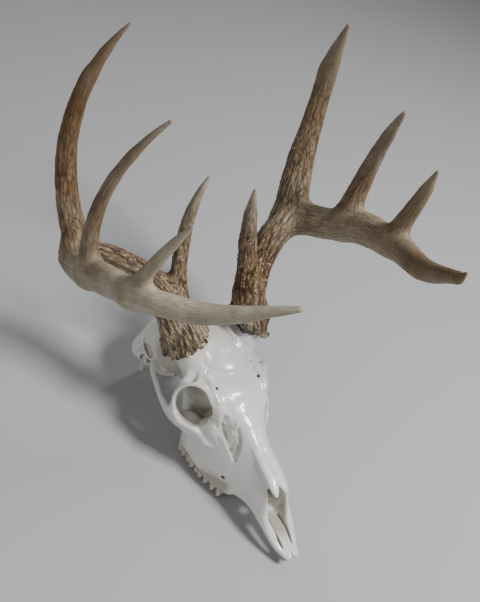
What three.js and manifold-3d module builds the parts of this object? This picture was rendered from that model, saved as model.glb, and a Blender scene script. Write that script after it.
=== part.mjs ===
// White-tailed deer skull with its antlers, resting on its cheek teeth.
// Millimetres, +Z up, nose towards -Y, the animal's left side on +X.
// Places on the skull are given as (side, forward, up): forward counts from the
// rear of the occipital condyles, up counts from the surface it rests on.
import * as THREE from "three";
import { mergeVertices } from "three/addons/utils/BufferGeometryUtils.js";
import Module from "manifold-3d";

const wasm = await Module();
wasm.setup();

// ---- Driving dimensions -------------------------------------------------
const SKULL_LENGTH = 287;        // condyles to the tip of the premaxillae
const REAR_Y = 118;              // the condyles lie this far behind the origin
const GAP = 0.3;                 // between two nodes that touch in life

// Along-the-skull curves, each a list of [forward, value] pairs.
// The cranium: braincase behind, then the narrow core between the orbits.
const CRANIUM = {
  crown: [[2, 84], [12, 95], [25, 102], [45, 109], [65, 112], [95, 112], [130, 108], [150, 101]],
  shoulderX: [[2, 22], [12, 25], [45, 26], [80, 26], [110, 22], [150, 15]],
  shoulderZ: [[2, 76], [12, 88], [45, 101], [80, 104], [110, 102], [150, 94]],
  sideX: [[2, 35], [12, 39], [30, 39.5], [50, 38], [72, 33.5], [95, 30], [120, 25], [150, 19]],
  sideZ: [[2, 56], [30, 62], [60, 74], [95, 84], [150, 80]],
  edgeX: [[2, 22], [20, 25], [45, 22], [70, 16], [110, 11], [150, 12]],
  edgeZ: [[2, 42], [20, 40], [45, 44], [80, 50], [150, 50]],
  keel: [[2, 41], [20, 38], [45, 40], [80, 45], [150, 46]],
};

// The face: low tuber behind the teeth, front wall of the orbits, long muzzle.
const FACE = {
  crown: [[108, 44], [124, 56], [136, 76], [150, 98], [165, 93], [190, 80.5], [215, 70],
    [234, 64], [243, 49], [256, 34], [270, 25], [287, 18]],
  shoulderX: [[108, 12], [136, 22], [150, 26], [162, 20], [175, 15], [200, 12.5], [232, 11.5],
    [246, 14], [270, 10], [287, 3]],
  shoulderZ: [[108, 42], [124, 54], [136, 72], [150, 91], [165, 87], [200, 70], [234, 57],
    [246, 43], [270, 21], [287, 15]],
  sideX: [[108, 26], [120, 36], [140, 38], [155, 35], [175, 30], [195, 24.5], [215, 19.5],
    [240, 17.5], [256, 16.5], [270, 12.5], [282, 8], [287, 4]],
  sideZ: [[108, 32], [140, 46], [160, 49], [195, 42], [225, 38], [245, 31], [270, 18], [287, 14]],
  edgeX: [[108, 24], [120, 33], [150, 34], [180, 30], [200, 23.5], [220, 17.5], [245, 15],
    [270, 9.5], [287, 3]],
  edgeZ: [[108, 22], [120, 15], [150, 14], [196, 15], [208, 22], [230, 27], [250, 22], [270, 13],
    [287, 10]],
  keel: [[108, 30], [120, 25], [196, 24], [212, 25], [232, 26], [250, 21], [270, 13.5], [287, 11]],
};

// The frontal roof that carries the brow rims above the orbits.
const ROOF = {
  crown: [[62, 107], [80, 113], [105, 114], [125, 112], [142, 107], [158, 98], [172, 88]],
  shoulderX: [[62, 15], [80, 24], [92, 27], [104, 36], [118, 40], [132, 39], [146, 32], [172, 13]],
  shoulderZ: [[62, 103], [80, 109], [105, 109], [118, 107], [132, 105], [146, 99], [172, 83]],
  sideX: [[62, 20], [80, 30], [92, 32], [104, 42], [118, 50], [132, 49], [146, 39], [172, 18]],
  sideZ: [[62, 97], [80, 101], [104, 101], [118, 100], [132, 99], [146, 92], [172, 78]],
  edgeX: [[62, 13], [80, 24], [92, 28], [104, 38], [118, 43], [132, 42], [146, 34], [172, 13]],
  edgeZ: [[62, 92], [80, 96], [104, 95], [118, 94], [132, 93], [146, 87], [172, 74]],
  keel: [[62, 90], [105, 96], [132, 94], [172, 72]],
};

// Orbit: the opening of the eye, and the bone ring round it.
const ORBIT_CENTRE = [43, 126, 82];
const ORBIT_FACING = [0.8, 0.56, 0.2];   // out, forward, up
const ORBIT_HALF_WIDTH = 19.5;
const ORBIT_HALF_HEIGHT = 22;
const ORBIT_DEPTH = 28;
const RIM_THICKNESS = 6.5;

// Cheek teeth, front to rear: [forward, side, lobe radius, number of lobes].
const TEETH = [
  [190, 26, 4.4, 1], [181, 28, 5.0, 1], [171, 30, 5.4, 1],
  [159, 32, 5.8, 2], [144, 33.5, 6.2, 2], [128, 34.5, 6.0, 2],
];
const TOOTH_NECK_UP = 20;        // the teeth run up into the jaw to this height
const CROWN_TAPER = 0.82;        // width of a worn crown against its neck

// Antlers. Beam stations: [side, forward, up, half height, half thickness].
const BEAM = [
  [36, 80, 122, 17.5, 17.5], [42, 68, 139, 17.5, 17.5], [54, 46, 159, 18, 17],
  [74, 27, 178, 17, 15], [105, 7, 190, 16, 14.5], [135, -4, 193, 17, 15], [147, 32, 209, 15.5, 13],
  [151, 76, 237, 16, 12.5], [148, 109, 252, 14.5, 12], [143, 138, 266, 12.5, 11],
  [118, 185, 289, 9.5, 8.5], [88, 234, 327, 4, 4],
];
const BURR_STATION = 0.3;        // place of the burr along the beam stations
const BURR_RADIUS = 26.5;
const BURR_THICKNESS = 11;
const PEDICLE_RADIUS = 17;

// Tines: where they leave the beam (in stations), how far the middle bows off
// the straight line, radii at root and middle, the share of the length where a
// cut parts them from the beam, and the tip on each side.
const TINES = {
  brow_tine: { station: 1.15, bow: [2, -18, 0], root: 14, middle: 9.5, cut: 0.36,
    left: [25, 34, 276], right: [26, 23, 290] },
  tine_2: { station: 4.7, bow: [19, -30, -2], root: 17, middle: 11.8, cut: 0.13,
    left: [116, -16, 421], right: [117, -16, 419] },
  tine_3: { station: 6.45, bow: [13, -14, 1], root: 13, middle: 7.6, cut: 0.16,
    left: [123, 83, 387], right: [124, 79, 391] },
  tine_4: { station: 8.25, bow: [3, 0, 1], root: 11, middle: 7.2, cut: 0.24,
    left: [133, 138, 359], right: [134, 149, 348] },
};
const TINE_FLATTENING = 0.82;    // thin way of a tine against its broad way
const TINE_BROAD_WAY = [0.69, -0.73, 0];
const TIP_RADIUS = 1.8;

// How the two antlers differ: girth past the first fork, how much higher the
// beam runs between the forks and lower before its end, and the end itself.
const SIDES = {
  left: { girth: 1.14, lift: 4, sag: 5, end: [85, 236, 326], endRadius: 5.5 },
  right: { girth: 0.9, lift: 0, sag: 0, end: [87, 233, 332], endRadius: 2.4 },
};
const BEAM_CUTS = [3.4, 7.4];    // stations that part the beam into three lengths
const BEAM_CUT_RADIUS = 24;      // wider than the beam at either cut

// ---- Materials ----------------------------------------------------------
const BONE = new THREE.MeshStandardMaterial({ color: 0xe9e6dc, roughness: 0.3, metalness: 0 });
const ANTLER = new THREE.MeshStandardMaterial({ color: 0xa08b6c, roughness: 0.6, metalness: 0 });

// ---- Shape functions ----------------------------------------------------

// A place on the skull, as (side, forward, up).
function place(side, forward, up) {
  return new THREE.Vector3(side, REAR_Y - forward, up);
}

// Smooth curve through [at, value] pairs, as a function of at.
function along(pairs, at) {
  let i = 0;
  while (i < pairs.length - 2 && at > pairs[i + 1][0]) i += 1;
  const slope = (k) => {
    const before = pairs[Math.max(k - 1, 0)];
    const after = pairs[Math.min(k + 1, pairs.length - 1)];
    return (after[1] - before[1]) / (after[0] - before[0]);
  };
  const [x0, y0] = pairs[i];
  const [x1, y1] = pairs[i + 1];
  const span = x1 - x0;
  const t = THREE.MathUtils.clamp((at - x0) / span, 0, 1);
  const rise = (y1 - y0) * t * t * (3 - 2 * t);
  return y0 + rise + span * (slope(i) * t * (1 - t) ** 2 - slope(i + 1) * t * t * (1 - t));
}

// Closed body from a list of rings with the same number of points each.
function bodyFromRings(rings) {
  const sides = rings[0].length;
  const position = [];
  const index = [];
  const middle = (ring) => ring.reduce((sum, p) => sum.add(p), new THREE.Vector3())
    .divideScalar(sides);
  for (const p of rings.flat()) position.push(p.x, p.y, p.z);
  for (let r = 0; r + 1 < rings.length; r += 1) {
    for (let s = 0; s < sides; s += 1) {
      const a = r * sides + s;
      const b = r * sides + (s + 1) % sides;
      index.push(a, b, b + sides, a, b + sides, a + sides);
    }
  }
  for (const [ring, start, flip] of [[rings[0], 0, true],
    [rings.at(-1), (rings.length - 1) * sides, false]]) {
    const hub = position.length / 3;
    position.push(...middle(ring).toArray());
    for (let s = 0; s < sides; s += 1) {
      const a = start + s;
      const b = start + (s + 1) % sides;
      index.push(...(flip ? [b, a, hub] : [a, b, hub]));
    }
  }
  const geometry = new THREE.BufferGeometry();
  geometry.setAttribute("position", new THREE.Float32BufferAttribute(position, 3));
  geometry.setIndex(index);
  return solid(geometry);
}

// Turns a closed geometry into a solid that can be joined and cut.
function solid(geometry) {
  geometry.deleteAttribute("normal");
  geometry.deleteAttribute("uv");
  const merged = mergeVertices(geometry, 1e-5);
  return new wasm.Manifold(new wasm.Mesh({
    numProp: 3,
    vertProperties: new Float32Array(merged.attributes.position.array),
    triVerts: new Uint32Array(merged.index.array),
  }));
}

// Skull section at one place forward, through crown, shoulder, side, edge and keel.
function section(shape, forward, count) {
  const value = (name) => along(shape[name], forward);
  const half = [[value("shoulderX"), value("shoulderZ")], [value("sideX"), value("sideZ")],
    [value("edgeX"), value("edgeZ")]];
  const loop = [[0, value("crown")], ...half, [0, value("keel")],
    ...half.map(([x, z]) => [-x, z]).reverse()];
  const curve = new THREE.CatmullRomCurve3(
    loop.map(([x, z]) => place(x, forward, z)), true, "catmullrom", 0.5);
  return Array.from({ length: count }, (_, k) => curve.getPoint(k / count));
}

// Body whose sections follow a set of along-the-skull curves.
function loft(shape, from, to, steps, count = 12) {
  const rings = [];
  for (let k = 0; k <= steps; k += 1) {
    rings.push(section(shape, from + (to - from) * k / steps, count));
  }
  return bodyFromRings(rings.reverse());
}

// Bar with elliptical sections along a curve. stations hold [half height, half
// thickness] at even steps of the curve; up shows which way the height points.
function bar(curve, stations, { up = [0, 0, 1], sides = 7, steps = 6 } = {}) {
  const upright = new THREE.Vector3(...up);
  const rings = [];
  for (let k = 0; k <= steps; k += 1) {
    const t = k / steps;
    const tangent = curve.getTangent(t);
    const across = new THREE.Vector3().crossVectors(tangent, upright).normalize();
    const height = new THREE.Vector3().crossVectors(across, tangent);
    const i = Math.min(Math.floor(t * (stations.length - 1)), stations.length - 2);
    const mix = t * (stations.length - 1) - i;
    const high = THREE.MathUtils.lerp(stations[i][0], stations[i + 1][0], mix);
    const wide = THREE.MathUtils.lerp(stations[i][1], stations[i + 1][1], mix);
    const centre = curve.getPoint(t);
    rings.push(Array.from({ length: sides }, (_, s) => {
      const angle = 2 * Math.PI * s / sides;
      return centre.clone().addScaledVector(across, wide * Math.cos(angle))
        .addScaledVector(height, high * Math.sin(angle));
    }));
  }
  return bodyFromRings(rings.reverse());
}

// Bar through places [side, forward, up, half height, half thickness].
function barThrough(rows, options) {
  const curve = new THREE.CatmullRomCurve3(
    rows.map(([x, f, z]) => place(x, f, z)), false, "catmullrom", 0.5);
  return bar(curve, rows.map((row) => row.slice(3)), options);
}

// Rounded lump: centre and half sizes as (side, forward, up).
function lump([x, f, z], [a, b, c]) {
  const geometry = new THREE.SphereGeometry(1, 8, 5);
  geometry.rotateX(Math.PI / 2);
  geometry.scale(a, b, c);
  geometry.translate(...place(x, f, z).toArray());
  return solid(geometry);
}

// Box between two corners given as (side, forward, up), grown by a margin and
// tilted about its own middle, nose end down.
function boxBetween([x0, f0, z0], [x1, f1, z1], margin = 0, tilt = 0) {
  const size = [x1 - x0, f1 - f0, z1 - z0].map((d) => Math.abs(d) + 2 * margin);
  const geometry = new THREE.BoxGeometry(...size);
  geometry.rotateX(tilt);
  geometry.translate(...place((x0 + x1) / 2, (f0 + f1) / 2, (z0 + z1) / 2).toArray());
  return solid(geometry);
}

// The same on the other side of the skull.
function mirrored(body) {
  return body.mirror([1, 0, 0]);
}

function bothSides(body) {
  return body.add(mirrored(body));
}

function joined(bodies) {
  return bodies.reduce((whole, body) => whole.add(body));
}

// Largest closed body of a solid, without slivers that a cut leaves behind.
function largest(body) {
  return body.decompose().reduce((best, piece) => (piece.volume() > best.volume() ? piece : best));
}

// ---- Skull --------------------------------------------------------------

// Braincase with condyles, nuchal crest, ear capsules and the prongs behind
// the jaw joint, whose tips carry the rear of the skull.
function cranium() {
  const condyle = lump([13, 8, 46], [9, 9, 11]);
  const crest = barThrough([[39, 12, 44, 5, 2.5], [39.5, 6, 53, 5, 2.5], [34, 4, 67, 5, 2.5],
    [24.5, 3, 78, 5, 2.5], [0, 3, 85, 5, 2.5], [-24.5, 3, 78, 5, 2.5], [-34, 4, 67, 5, 2.5],
    [-39.5, 6, 53, 5, 2.5], [-39, 12, 44, 5, 2.5]], { up: [0, 1, 0], steps: 10, sides: 5 });
  const prong = barThrough([[34, 24, 52, 9, 6], [32, 18, 34, 8, 4], [27, 9, 14, 5, 3.5],
    [26, 8, 0, 4, 3.2]], { up: [0, 1, 0], sides: 6, steps: 5 });
  const earCapsule = lump([21, 42, 32], [8, 14, 10]);
  const earTube = lump([38, 34, 47], [7, 5, 6]);
  const jawJoint = lump([41, 58, 54], [13, 15, 6]);
  const pterygoid = barThrough([[12, 106, 46, 16, 3], [12, 94, 36, 12, 2.5],
    [13, 86, 16, 4, 2.5]], { up: [0, 1, 0.4], sides: 6, steps: 3 });
  return joined([loft(CRANIUM, 2, 150, 8), crest,
    ...[condyle, prong, earCapsule, earTube, jawJoint, pterygoid].map(bothSides)]);
}

// Sets a body made round the Z axis into the orbit, stretched to its height.
function inOrbit(geometry) {
  geometry.scale(1, ORBIT_HALF_HEIGHT / ORBIT_HALF_WIDTH, 1);
  const facing = new THREE.Vector3(ORBIT_FACING[0], -ORBIT_FACING[1], ORBIT_FACING[2]).normalize();
  const level = new THREE.Vector3(0, 0, 1).cross(facing).normalize();
  const upright = facing.clone().cross(level);
  geometry.applyMatrix4(new THREE.Matrix4().makeBasis(level, upright, facing));
  geometry.translate(...place(...ORBIT_CENTRE).toArray());
  return solid(geometry);
}

// Ring round each eye, open behind into the space for the jaw muscle.
function orbitRims() {
  return bothSides(inOrbit(new THREE.TorusGeometry(
    ORBIT_HALF_WIDTH + RIM_THICKNESS / 2, RIM_THICKNESS / 2, 5, 14)));
}

function orbitHollows() {
  const hollow = new THREE.SphereGeometry(1, 9, 6);
  hollow.rotateX(Math.PI / 2);
  hollow.scale(ORBIT_HALF_WIDTH, ORBIT_HALF_WIDTH, ORBIT_DEPTH);
  return bothSides(inOrbit(hollow));
}

// Cheek arch: from the jaw joint forward under the orbit, with the bar that
// rises behind the eye to the brow.
function cheekArches() {
  const arch = barThrough([[38, 42, 56, 6, 6], [47, 54, 58, 5, 4.5], [53, 72, 59, 5, 3],
    [57, 94, 57, 6, 3], [56, 112, 56, 8, 4], [50, 132, 56, 8, 5], [40, 149, 52, 7, 5]],
  { steps: 8, sides: 6 });
  const bar = barThrough([[42, 104, 103, 6, 4], [52, 105, 92, 4.5, 3.5], [57, 107, 76, 4.5, 3.5],
    [57, 110, 60, 7, 4]], { up: [0, 1, 0], sides: 6, steps: 5 });
  return bothSides(arch.add(bar));
}

// Cheek teeth of one side: lobes with worn, flat crowns that the skull rests on.
function cheekTeeth() {
  const lobes = [];
  for (const [forward, side, radius, count] of TEETH) {
    for (let k = 0; k < count; k += 1) {
      const lobe = new THREE.CylinderGeometry(radius, radius * CROWN_TAPER, TOOTH_NECK_UP, 6);
      lobe.rotateX(Math.PI / 2);
      const shift = (k - (count - 1) / 2) * radius * 1.25;
      lobe.translate(...place(side, forward + shift, TOOTH_NECK_UP / 2).toArray());
      lobes.push(solid(lobe));
    }
  }
  return joined(lobes);
}

// The two nasal bones end in free tips over the open front of the nose.
function nasalTips() {
  const tip = barThrough([[6, 200, 73.5, 3.5, 5.5], [6.5, 224, 65.5, 3, 5.5], [8, 241, 59.5, 1.5, 3]],
    { sides: 6, steps: 4 });
  return bothSides(tip);
}

// Hollows of the muzzle: the nose passage, its open front, the long slots
// beside the midline and the nick between the two front bones.
function muzzleHollows() {
  const passage = lump([0, 222, 46], [11, 36, 15]);
  const front = lump([0, 250, 58], [12, 22, 30]);
  const slot = barThrough([[8.2, 240, 26, 18, 1.6], [8.6, 252, 22, 16, 3.4],
    [7, 275, 16, 12, 1.2]], { sides: 6, steps: 5 });
  const nick = boxBetween([-0.7, 277, 0], [0.7, 300, 40]);
  return joined([passage, front, nick, bothSides(slot)]);
}

// Small hollows: the gap before each orbit, the spinal opening and the throat.
function smallHollows() {
  const gap = barThrough([[33, 156, 90, 5, 6], [33, 172, 76, 7, 7], [32, 190, 62, 2, 4]],
    { sides: 7, steps: 5 });
  const spinal = lump([0, 2, 57], [9, 14, 8]);
  const throat = lump([0, 106, 32], [9, 26, 11]);
  return joined([spinal, throat, bothSides(gap)]);
}

// Stump on the forehead that carries an antler, ending one gap below it.
function pedicles() {
  const foot = beamCurve("left").getPoint(0);
  const back = beamCurve("left").getTangent(0).negate();
  const top = foot.clone().addScaledVector(back, GAP);
  const low = foot.clone().addScaledVector(back, 26);
  const curve = new THREE.LineCurve3(low, top);
  return bothSides(bar(curve, [[22, 20], [17, 17], [PEDICLE_RADIUS, PEDICLE_RADIUS]],
    { up: [1, 0, 0], sides: 10, steps: 2 }));
}

function skull() {
  const bone = joined([cranium(), loft(ROOF, 62, 172, 6), loft(FACE, 108, SKULL_LENGTH, 13),
    orbitRims(), bothSides(cheekTeeth()), pedicles()]);
  const hollowed = bone.subtract(joined([orbitHollows(), smallHollows(), muzzleHollows()]));
  const underSurface = boxBetween([-90, -40, -40], [90, 320, 0]);
  return joined([hollowed, cheekArches(), nasalTips()]).subtract(underSurface);
}

// ---- Antlers ------------------------------------------------------------

// Beam stations of one side, as places and as radii.
function beamRows(side) {
  const { girth, lift, sag, end, endRadius } = SIDES[side];
  const { lerp, smoothstep } = THREE.MathUtils;
  return BEAM.map(([x, f, z, high, wide], i) => {
    if (i === BEAM.length - 1) return [...end, endRadius, endRadius];
    const grown = lerp(1, girth, smoothstep(i, 2, 5));
    const raised = lift * smoothstep(i, 4, 6) - (lift + sag) * smoothstep(i, 7, 10);
    return [x, f, z + raised, high * grown, wide * grown];
  });
}

function beamCurve(side) {
  return new THREE.CatmullRomCurve3(
    beamRows(side).map(([x, f, z]) => place(x, f, z)), false, "catmullrom", 0.5);
}

// Round ring of knobs where the antler grows from the stump.
function burr(side) {
  const half = BURR_THICKNESS / 2;
  const outline = [[0, -half], [0.85, -half], [1, -0.3 * half], [0.72, half], [0, half]];
  const geometry = new THREE.LatheGeometry(
    outline.map(([r, z]) => new THREE.Vector2(r * BURR_RADIUS, z)), 11);
  const t = BURR_STATION / (BEAM.length - 1);
  const axis = beamCurve(side).getTangent(t);
  geometry.applyQuaternion(
    new THREE.Quaternion().setFromUnitVectors(new THREE.Vector3(0, 1, 0), axis));
  geometry.translate(...beamCurve(side).getPoint(t).toArray());
  return solid(geometry);
}

function tineCurve(tine, side) {
  const root = beamCurve(side).getPoint(tine.station / (BEAM.length - 1));
  const tip = place(...tine[side]);
  const [out, forward, up] = tine.bow;
  const bend = root.clone().add(tip).multiplyScalar(0.5)
    .add(new THREE.Vector3(2 * out, -2 * forward, 2 * up));
  return new THREE.QuadraticBezierCurve3(root, bend, tip);
}

function tineBody(tine, side) {
  const { root, middle } = tine;
  const { girth } = SIDES[side];
  const radii = [root, (root + middle) / 2.1, middle, middle * 0.78, TIP_RADIUS];
  return bar(tineCurve(tine, side), radii.map((r) => [r * girth, r * girth * TINE_FLATTENING]),
    { up: TINE_BROAD_WAY, sides: 7, steps: 7 });
}

// Thin disc across a curve, to part two lengths of antler.
function cutAcross(curve, t, radius) {
  const disc = new THREE.CylinderGeometry(radius, radius, GAP, 10);
  disc.applyQuaternion(new THREE.Quaternion().setFromUnitVectors(
    new THREE.Vector3(0, 1, 0), curve.getTangent(t)));
  disc.translate(...curve.getPoint(t).toArray());
  return solid(disc);
}

// One antler as it would stand on the left, with its side's own shape, parted
// at its forks. Returns the pieces by name.
function antlerPieces(side) {
  const beam = barThrough(beamRows(side), { sides: 8, steps: 22 });
  const curve = beamCurve(side);
  const at = (station) => station / (BEAM.length - 1);
  const tines = Object.values(TINES);
  const cuts = tines.map((tine) => cutAcross(tineCurve(tine, side), tine.cut, 1.35 * tine.root));
  for (const station of BEAM_CUTS) cuts.push(cutAcross(curve, at(station), BEAM_CUT_RADIUS));
  const body = joined([beam, burr(side), ...tines.map((tine) => tineBody(tine, side))]);
  const pieces = body.subtract(joined(cuts)).decompose();
  const anchors = {
    base: curve.getPoint(at(BEAM_CUTS[0] / 2)),
    beam: curve.getPoint(at((BEAM_CUTS[0] + BEAM_CUTS[1]) / 2)),
    beam_end: curve.getPoint(at(BEAM_CUTS[1] + 2)),
  };
  for (const [name, tine] of Object.entries(TINES)) {
    anchors[name] = tineCurve(tine, side).getPoint(0.55);
  }
  const named = {};
  for (const [name, anchor] of Object.entries(anchors)) {
    const distance = (piece) => {
      const { min, max } = piece.boundingBox();
      return new THREE.Vector3(...min).add(new THREE.Vector3(...max)).multiplyScalar(0.5)
        .distanceTo(anchor);
    };
    named[name] = pieces.reduce((best, piece) => (distance(piece) < distance(best) ? piece : best));
  }
  return named;
}

// ---- Nodes --------------------------------------------------------------

const whole = new THREE.Group();

function addNode(name, body, material) {
  const mesh = body.getMesh();
  const geometry = new THREE.BufferGeometry();
  geometry.setAttribute("position", new THREE.BufferAttribute(mesh.vertProperties, 3));
  geometry.setIndex(new THREE.BufferAttribute(mesh.triVerts, 1));
  geometry.computeVertexNormals();
  const node = new THREE.Mesh(geometry, material);
  node.name = name;
  whole.add(node);
}

// Bones taken out of the skull one after another: name, two corners of the box
// that holds the bone, and how far the box tilts nose down, in degrees.
const BONES = [
  ["nose_bones", [-13, 162, 68], [13, 256, 92], 22],
  ["nose_tip_left", [GAP / 2, 240, 0], [40, 300, 56], 0],
  ["nose_tip_right", [-GAP / 2, 240, 0], [-40, 300, 56], 0],
  ["cheek_arch_left", [47, 62, 30], [80, 140, 95], 0],
  ["cheek_arch_right", [-47, 62, 30], [-80, 140, 95], 0],
  ["upper_jaw", [-60, 112, -5], [60, 260, 66], 0],
  ["forehead", [-70, 66, 72], [70, 300, 200], 0],
];

let remaining = skull();
for (const [name, from, to, degrees] of BONES) {
  const tilt = THREE.MathUtils.degToRad(degrees);
  addNode(name, largest(remaining.intersect(boxBetween(from, to, 0, tilt))), BONE);
  remaining = remaining.subtract(boxBetween(from, to, GAP, tilt));
}
addNode("braincase", largest(remaining), BONE);

for (const [name, piece] of Object.entries(antlerPieces("left"))) {
  addNode(`antler_left_${name}`, piece, ANTLER);
}
for (const [name, piece] of Object.entries(antlerPieces("right"))) {
  addNode(`antler_right_${name}`, mirrored(piece), ANTLER);
}

export default whole;
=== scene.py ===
import bpy
import numpy as np
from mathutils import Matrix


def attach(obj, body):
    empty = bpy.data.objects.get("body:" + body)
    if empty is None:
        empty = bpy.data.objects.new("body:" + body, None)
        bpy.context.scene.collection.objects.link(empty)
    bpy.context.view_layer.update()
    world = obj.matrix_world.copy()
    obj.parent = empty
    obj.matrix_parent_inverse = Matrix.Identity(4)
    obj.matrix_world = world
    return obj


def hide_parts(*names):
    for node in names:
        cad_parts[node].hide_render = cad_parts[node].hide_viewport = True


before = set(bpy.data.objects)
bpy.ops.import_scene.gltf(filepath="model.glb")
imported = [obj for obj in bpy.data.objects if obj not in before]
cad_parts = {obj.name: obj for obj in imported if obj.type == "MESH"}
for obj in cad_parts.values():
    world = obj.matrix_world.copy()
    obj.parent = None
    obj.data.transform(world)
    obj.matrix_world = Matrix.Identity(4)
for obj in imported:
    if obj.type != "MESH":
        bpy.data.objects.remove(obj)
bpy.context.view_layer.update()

import openvdb
from mathutils import Matrix, Vector

# ---- Camera ---------------------------------------------------------------
# The view is from above and in front of the skull's right side, about 0.8 m from
# it, and rolled so that the end of the right antler lies nearly level.
CAMERA_PLACE = Vector((-0.4290, -0.3816, 0.6759))
VIEW_RIGHT = Vector((0.8090, -0.5178, 0.2783))
VIEW_UP = Vector((0.1822, 0.6710, 0.7188))
LENS_MM = 46.64                  # on a sensor 36 mm along the frame's long side

camera_data = bpy.data.cameras.new("camera")
camera_data.lens = LENS_MM
camera_data.sensor_width = 36
camera = bpy.data.objects.new("camera", camera_data)
bpy.context.scene.collection.objects.link(camera)
view_axes = Matrix((VIEW_RIGHT, VIEW_UP, VIEW_RIGHT.cross(VIEW_UP))).transposed()
camera.matrix_world = Matrix.Translation(CAMERA_PLACE) @ view_axes.to_4x4()
bpy.context.scene.camera = camera

# ---- Floor and light ------------------------------------------------------
# A plain matt sheet under the teeth, one large soft light above and in front,
# a narrower one that draws the bright streaks on the glossy bone, and a fill.
FLOOR_HALF = 3.0
FLOOR_DROP = 0.0003              # keeps the floor just under the tooth crowns
FLOOR_GREY = (0.50, 0.50, 0.51, 1)

floor_mesh = bpy.data.meshes.new("floor")
corners = [(x * FLOOR_HALF, y * FLOOR_HALF, -FLOOR_DROP)
           for x, y in ((-1, -1), (1, -1), (1, 1), (-1, 1))]
floor_mesh.from_pydata(corners, [], [(0, 1, 2, 3)])
floor = bpy.data.objects.new("floor", floor_mesh)
bpy.context.scene.collection.objects.link(floor)


def finish_of(name):
    """New material with its nodes, links and main shader at hand."""
    material = bpy.data.materials.new(name)
    material.use_nodes = True
    nodes = material.node_tree.nodes
    return material, nodes, material.node_tree.links, nodes["Principled BSDF"]


paper, nodes, links, shader = finish_of("matt_paper")
shader.inputs["Roughness"].default_value = 0.9
grain = nodes.new("ShaderNodeTexNoise")
grain.inputs["Scale"].default_value = 3
tint = nodes.new("ShaderNodeMix")
tint.data_type = "RGBA"
tint.inputs[6].default_value = FLOOR_GREY
tint.inputs[7].default_value = tuple(0.94 * value for value in FLOOR_GREY[:3]) + (1,)
place_on_floor = nodes.new("ShaderNodeTexCoord")
links.new(place_on_floor.outputs["Object"], grain.inputs["Vector"])
links.new(grain.outputs["Fac"], tint.inputs["Factor"])
links.new(tint.outputs[2], shader.inputs["Base Color"])
floor_mesh.materials.append(paper)


def soft_light(name, place, aim, size, power):
    """Rectangular light at a place in metres, turned towards another."""
    data = bpy.data.lights.new(name, "AREA")
    data.shape = "RECTANGLE"
    data.size, data.size_y = size
    data.energy = power
    light = bpy.data.objects.new(name, data)
    light.location = place
    light.rotation_euler = (Vector(aim) - Vector(place)).to_track_quat("-Z", "Y").to_euler()
    bpy.context.scene.collection.objects.link(light)


SKULL_MIDDLE = (0, -0.02, 0.12)
soft_light("key_light", (0.55, -0.85, 1.6), SKULL_MIDDLE, (0.45, 0.45), 38)
soft_light("streak_light", (1.1, 0.5, 1.3), SKULL_MIDDLE, (0.2, 0.8), 5)
soft_light("fill_light", (-1.6, -0.1, 1.1), SKULL_MIDDLE, (1.2, 1.0), 7)
world = bpy.data.worlds.new("room")
world.use_nodes = True
world.node_tree.nodes["Background"].inputs["Color"].default_value = (0.96, 0.96, 0.97, 1)
world.node_tree.nodes["Background"].inputs["Strength"].default_value = 0.13
bpy.context.scene.world = world

# ---- Bone of the skull ----------------------------------------------------
# The whole skull first, as one smooth solid, because its bones grow together:
# braincase, forehead, face and cheek arches are laid on, then the eye sockets,
# the nose and the small openings are cut. The bones are parted further down.
REAR_Y = 118                     # mm that the rear of the skull lies behind the origin
METRES = 0.001
VOXEL = 0.8                      # mm between the places where distance is kept
BAND = 8.0                       # mm beyond which distance isn't kept

CRANIUM = {
    "crown": [(-1, 80), (6, 90), (14, 96), (25, 102), (45, 110), (60, 115), (80, 114), (95, 112),
              (130, 108), (150, 101)],
    "shoulder_x": [(-1, 17), (12, 25), (45, 27), (80, 26), (110, 22), (150, 15)],
    "shoulder_z": [(-1, 72), (12, 88), (45, 102), (62, 109), (80, 107), (110, 102), (150, 94)],
    "side_x": [(-1, 30), (12, 38), (30, 39.5), (50, 38), (72, 33.5), (95, 30), (120, 25), (150, 19)],
    "side_z": [(-1, 56), (30, 62), (60, 74), (95, 84), (150, 80)],
    "edge_x": [(-1, 20), (20, 25), (45, 22), (70, 16), (110, 11), (150, 12)],
    "edge_z": [(-1, 42), (20, 40), (45, 44), (80, 50), (150, 50)],
    "keel": [(-1, 41), (20, 38), (45, 40), (80, 45), (150, 46)],
}
FACE = {
    "crown": [(108, 44), (124, 56), (136, 76), (150, 98), (165, 93), (190, 80.5), (215, 70), (234, 64),
              (243, 46), (250, 34), (256, 29), (263, 25), (270, 21), (280, 18), (287, 16)],
    "shoulder_x": [(108, 12), (136, 22), (150, 26), (162, 20), (175, 14.5), (200, 11.5), (222, 9.5),
                   (234, 10.5), (246, 14), (270, 9.5), (287, 4.5)],
    "shoulder_z": [(108, 42), (124, 54), (136, 72), (150, 91), (165, 87), (200, 70), (234, 56),
                   (246, 36), (254, 29), (270, 19.5), (287, 15)],
    "side_x": [(108, 26), (120, 36), (140, 38), (155, 35), (175, 30), (195, 24.5), (215, 19.5), (240, 18.5),
               (256, 17), (270, 13.5), (280, 10), (287, 7)],
    "side_z": [(108, 32), (140, 46), (160, 49), (195, 42), (225, 38), (245, 31), (270, 18), (287, 14)],
    "edge_x": [(108, 24), (120, 36), (150, 37), (180, 32.5), (194, 27.5), (206, 22.5), (220, 19.5),
               (245, 17.5), (270, 12.5), (280, 9.5), (287, 6)],
    "edge_z": [(108, 20), (120, 12), (150, 10), (188, 10.5), (199, 15), (206, 22), (230, 27), (250, 22),
               (270, 13), (287, 10)],
    "keel": [(108, 30), (120, 25), (196, 24), (212, 25), (232, 26), (250, 21), (270, 13.5), (287, 11)],
}
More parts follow.
